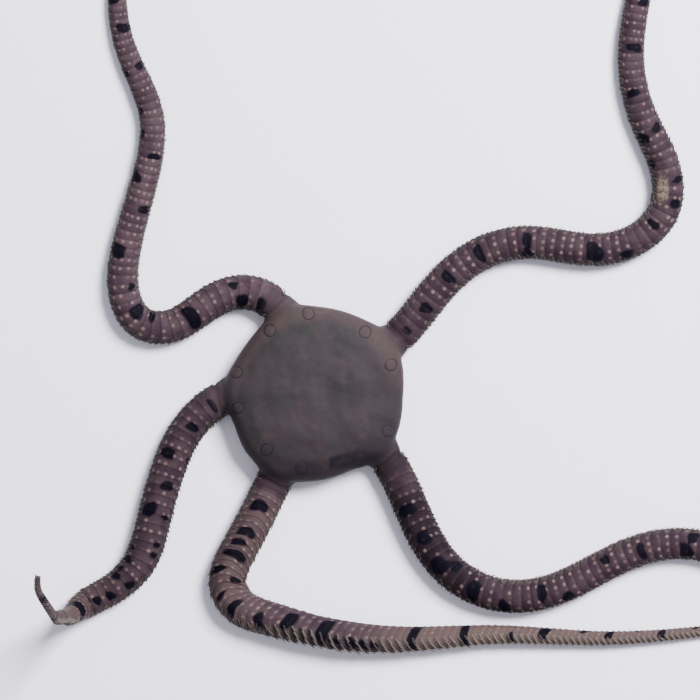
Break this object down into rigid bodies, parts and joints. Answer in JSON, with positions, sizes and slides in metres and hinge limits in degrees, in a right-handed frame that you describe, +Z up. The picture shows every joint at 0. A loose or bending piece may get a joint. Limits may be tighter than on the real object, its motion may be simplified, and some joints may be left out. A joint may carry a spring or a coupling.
{
  "type": "brittle star",
  "caption": "Still, life-size model of a brittle star: a smooth grey-brown disc with long, ringed, spiny arms lying on the floor, the end of one arm raised.",
  "frame": {"origin": "centre of the underside of the box round the whole animal, on the floor it rests on", "axes": "+Z up from the floor, +Y away from the viewer along the longest side of the box, +X to the viewer's right"},
  "size_m": [0.1298, 0.1486, 0.0446],
  "materials": {
    "disc_skin": "matte",
    "arm_plates": "matte",
    "jaw_plates": "matte"
  },
  "bodies": {
    "root": {"arm_back_left_1": "arm_plates", "arm_back_left_2": "arm_plates", "arm_back_left_3": "arm_plates", "arm_back_left_4": "arm_plates", "arm_back_left_5": "arm_plates", "arm_back_left_6": "arm_plates", "arm_back_right_1": "arm_plates", "arm_back_right_2": "arm_plates", "arm_back_right_3": "arm_plates", "arm_back_right_4": "arm_plates", "arm_back_right_5": "arm_plates", "arm_back_right_6": "arm_plates", "arm_front_left_1": "arm_plates", "arm_front_left_2": "arm_plates", "arm_front_left_3": "arm_plates", "arm_front_left_4": "arm_plates", "arm_front_left_5": "arm_plates", "arm_front_right_1": "arm_plates", "arm_front_right_2": "arm_plates", "arm_front_right_3": "arm_plates", "arm_front_right_4": "arm_plates", "arm_front_right_5": "arm_plates", "arm_front_right_6": "arm_plates", "arm_left_1": "arm_plates", "arm_left_2": "arm_plates", "arm_left_3": "arm_plates", "arm_left_4": "arm_plates", "arm_left_5": "arm_plates", "disc": "disc_skin", "jaw_1": "jaw_plates", "jaw_2": "jaw_plates", "jaw_3": "jaw_plates", "jaw_4": "jaw_plates", "jaw_5": "jaw_plates"}
  },
  "joints": []
}
